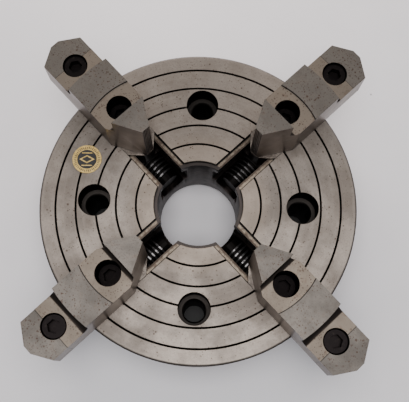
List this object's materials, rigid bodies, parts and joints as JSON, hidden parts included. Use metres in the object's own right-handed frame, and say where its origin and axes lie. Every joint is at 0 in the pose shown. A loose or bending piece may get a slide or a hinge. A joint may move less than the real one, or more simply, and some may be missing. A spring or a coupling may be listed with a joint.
{
  "type": "four-jaw independent lathe chuck",
  "caption": "Independent lathe chuck: a grooved steel disc with radial slots, each with a screw-driven master jaw that carries a reversible stepped top jaw.",
  "frame": {"origin": "centre of the locating recess in the back face", "axes": "+Z along the chuck's axis, towards the jaws; jaw 1 along +X and jaw 2 along +Y"},
  "size_m": [0.3434, 0.3421, 0.1346],
  "materials": {
    "body_steel": "satin",
    "jaw_steel": "satin",
    "black_oxide": "satin",
    "plate_brass": "satin"
  },
  "bodies": {
    "body": {"chuck_body": "body_steel", "maker_plate": "plate_brass", "thrust_block_1": "body_steel", "thrust_block_2": "body_steel", "thrust_block_3": "body_steel", "thrust_block_4": "body_steel", "block_screws_1": "black_oxide", "block_screws_2": "black_oxide", "block_screws_3": "black_oxide", "block_screws_4": "black_oxide"},
    "jaw_1": {"master_jaw_1": "jaw_steel", "jaw_nut_1": "jaw_steel", "top_jaw_1": "jaw_steel", "inner_jaw_screw_1": "black_oxide", "outer_jaw_screw_1": "black_oxide"},
    "screw_1": {"operating_screw_1": "black_oxide"},
    "jaw_2": {"master_jaw_2": "jaw_steel", "jaw_nut_2": "jaw_steel", "top_jaw_2": "jaw_steel", "inner_jaw_screw_2": "black_oxide", "outer_jaw_screw_2": "black_oxide"},
    "screw_2": {"operating_screw_2": "black_oxide"},
    "jaw_3": {"master_jaw_3": "jaw_steel", "jaw_nut_3": "jaw_steel", "top_jaw_3": "jaw_steel", "inner_jaw_screw_3": "black_oxide", "outer_jaw_screw_3": "black_oxide"},
    "screw_3": {"operating_screw_3": "black_oxide"},
    "jaw_4": {"master_jaw_4": "jaw_steel", "jaw_nut_4": "jaw_steel", "top_jaw_4": "jaw_steel", "inner_jaw_screw_4": "black_oxide", "outer_jaw_screw_4": "black_oxide"},
    "screw_4": {"operating_screw_4": "black_oxide"}
  },
  "joints": [
    {"name": "jaw_1_slide", "type": "slide", "parent": "body", "child": "jaw_1", "axis": [1, 0, 0], "range_m": [-0.044, 0.018]},
    {"name": "screw_1_turn", "type": "hinge", "parent": "body", "child": "screw_1", "pos_m": [0.1, 0, 0.035], "axis": [1, 0, 0], "range_deg": [-1620, 3960]},
    {"name": "jaw_2_slide", "type": "slide", "parent": "body", "child": "jaw_2", "axis": [0, 1, 0], "range_m": [-0.044, 0.018]},
    {"name": "screw_2_turn", "type": "hinge", "parent": "body", "child": "screw_2", "pos_m": [0, 0.1, 0.035], "axis": [0, 1, 0], "range_deg": [-1620, 3960]},
    {"name": "jaw_3_slide", "type": "slide", "parent": "body", "child": "jaw_3", "axis": [-1, 0, 0], "range_m": [-0.044, 0.018]},
    {"name": "screw_3_turn", "type": "hinge", "parent": "body", "child": "screw_3", "pos_m": [-0.1, 0, 0.035], "axis": [-1, 0, 0], "range_deg": [-1620, 3960]},
    {"name": "jaw_4_slide", "type": "slide", "parent": "body", "child": "jaw_4", "axis": [0, -1, 0], "range_m": [-0.044, 0.018]},
    {"name": "screw_4_turn", "type": "hinge", "parent": "body", "child": "screw_4", "pos_m": [0, -0.1, 0.035], "axis": [0, -1, 0], "range_deg": [-1620, 3960]}
  ],
  "couplings": [
    {"joint": "screw_1_turn", "follows": "jaw_1_slide", "rad_per_m": -1570.8},
    {"joint": "screw_2_turn", "follows": "jaw_2_slide", "rad_per_m": -1570.8},
    {"joint": "screw_3_turn", "follows": "jaw_3_slide", "rad_per_m": -1570.8},
    {"joint": "screw_4_turn", "follows": "jaw_4_slide", "rad_per_m": -1570.8}
  ]
}
